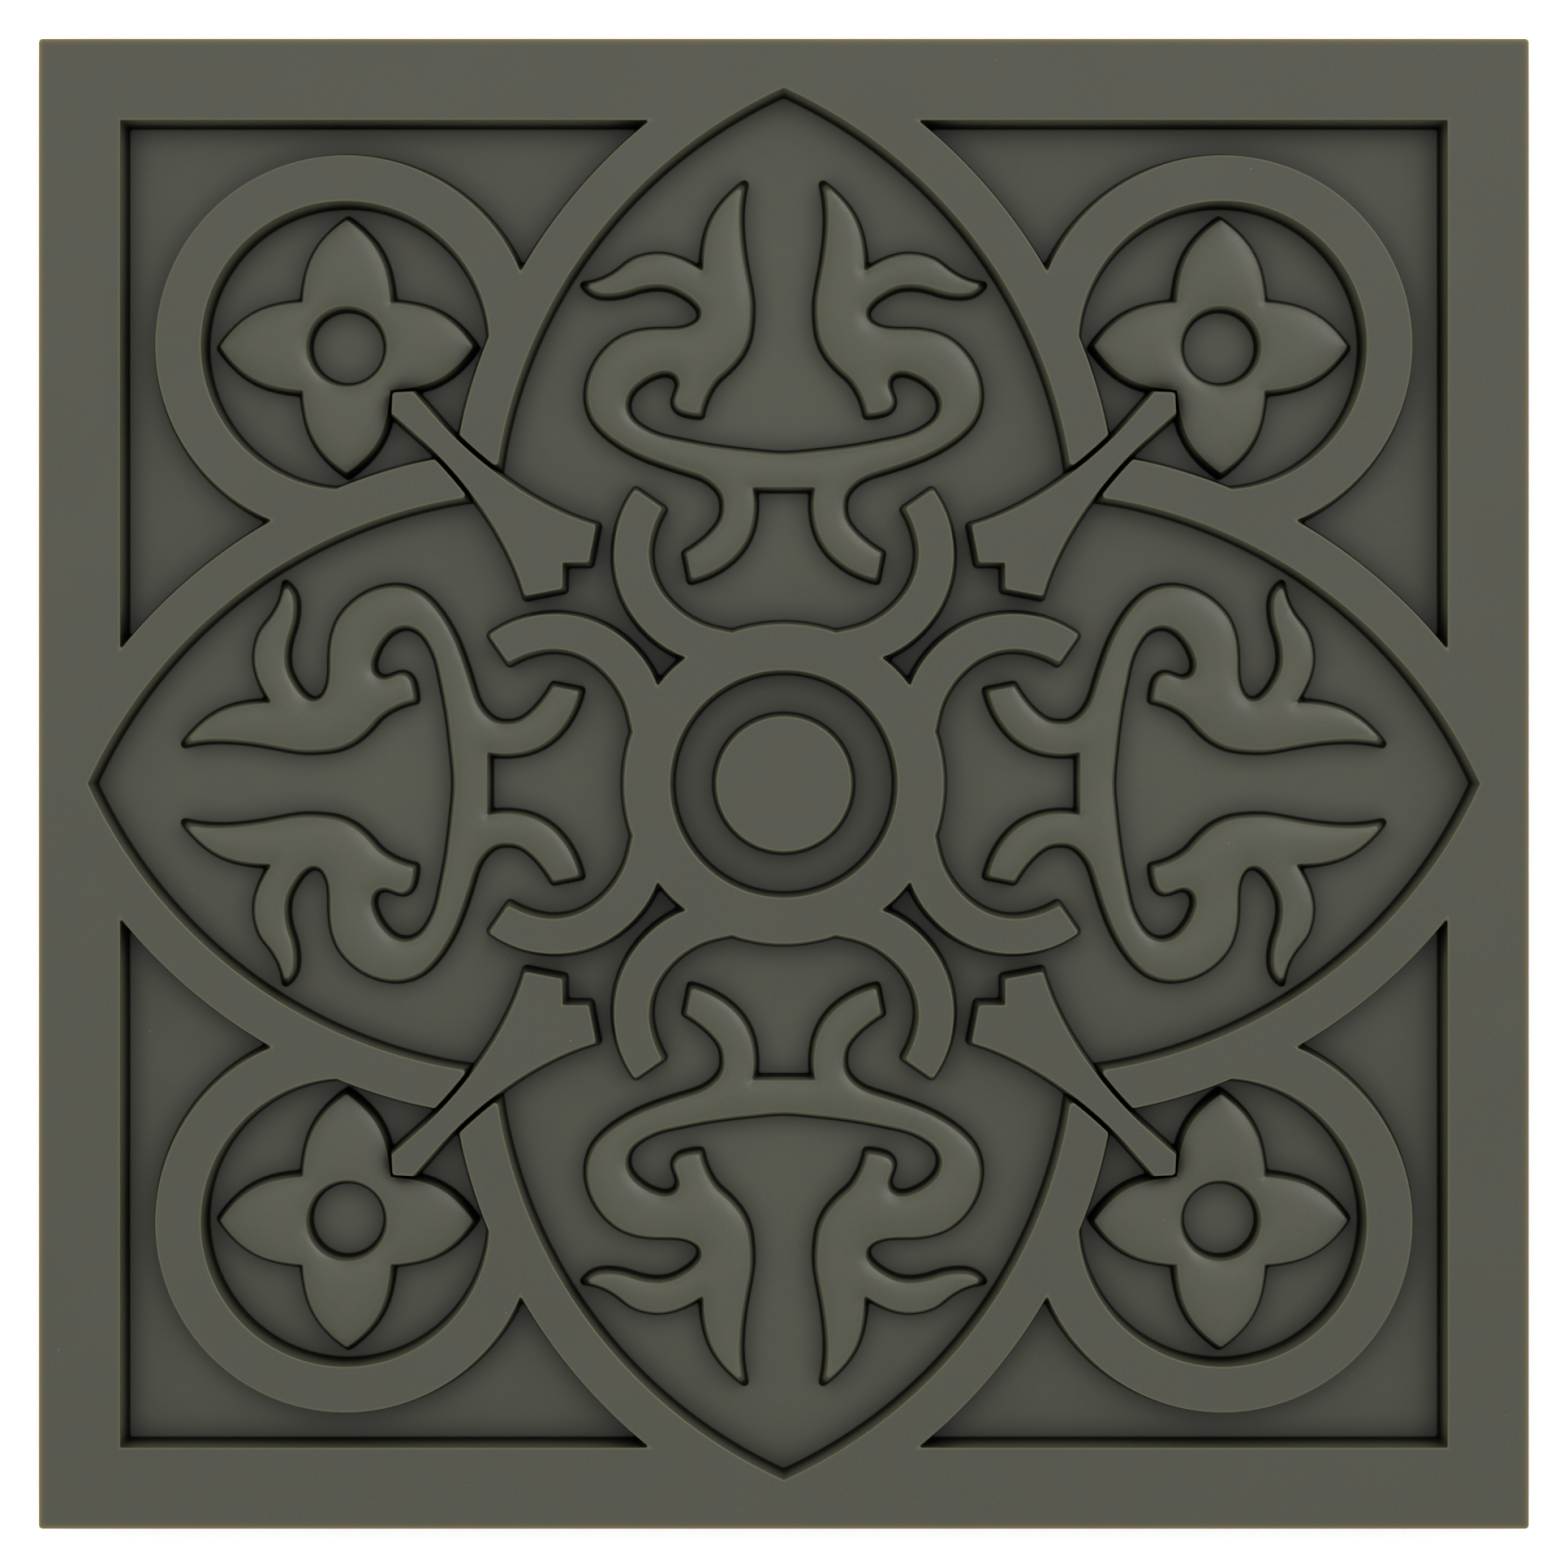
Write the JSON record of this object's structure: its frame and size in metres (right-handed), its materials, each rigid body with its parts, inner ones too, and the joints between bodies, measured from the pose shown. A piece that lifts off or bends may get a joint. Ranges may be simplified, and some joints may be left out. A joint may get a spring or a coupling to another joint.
{
  "type": "silicone soap mould",
  "caption": "Square flexible silicone relief mould with a raised rim, pointed arches, corner flowers, scroll tendrils and a central rosette, for casting carved soap tiles.",
  "frame": {"origin": "centre of the flat back face", "axes": "+Z out of the moulding side, +X and +Y along the square's sides, +Y up as a user looks at it"},
  "size_m": [0.2, 0.2, 0.012],
  "materials": {
    "silicone": "matt, dark olive grey"
  },
  "bodies": {
    "root": {"floor_sheet": "silicone", "border_tracery": "silicone", "rosette": "silicone", "centre_boss": "silicone", "strap_1": "silicone", "strap_2": "silicone", "strap_3": "silicone", "strap_4": "silicone", "tendril_1": "silicone", "tendril_2": "silicone", "tendril_3": "silicone", "tendril_4": "silicone", "flower_1": "silicone", "flower_2": "silicone", "flower_3": "silicone", "flower_4": "silicone"}
  },
  "joints": []
}
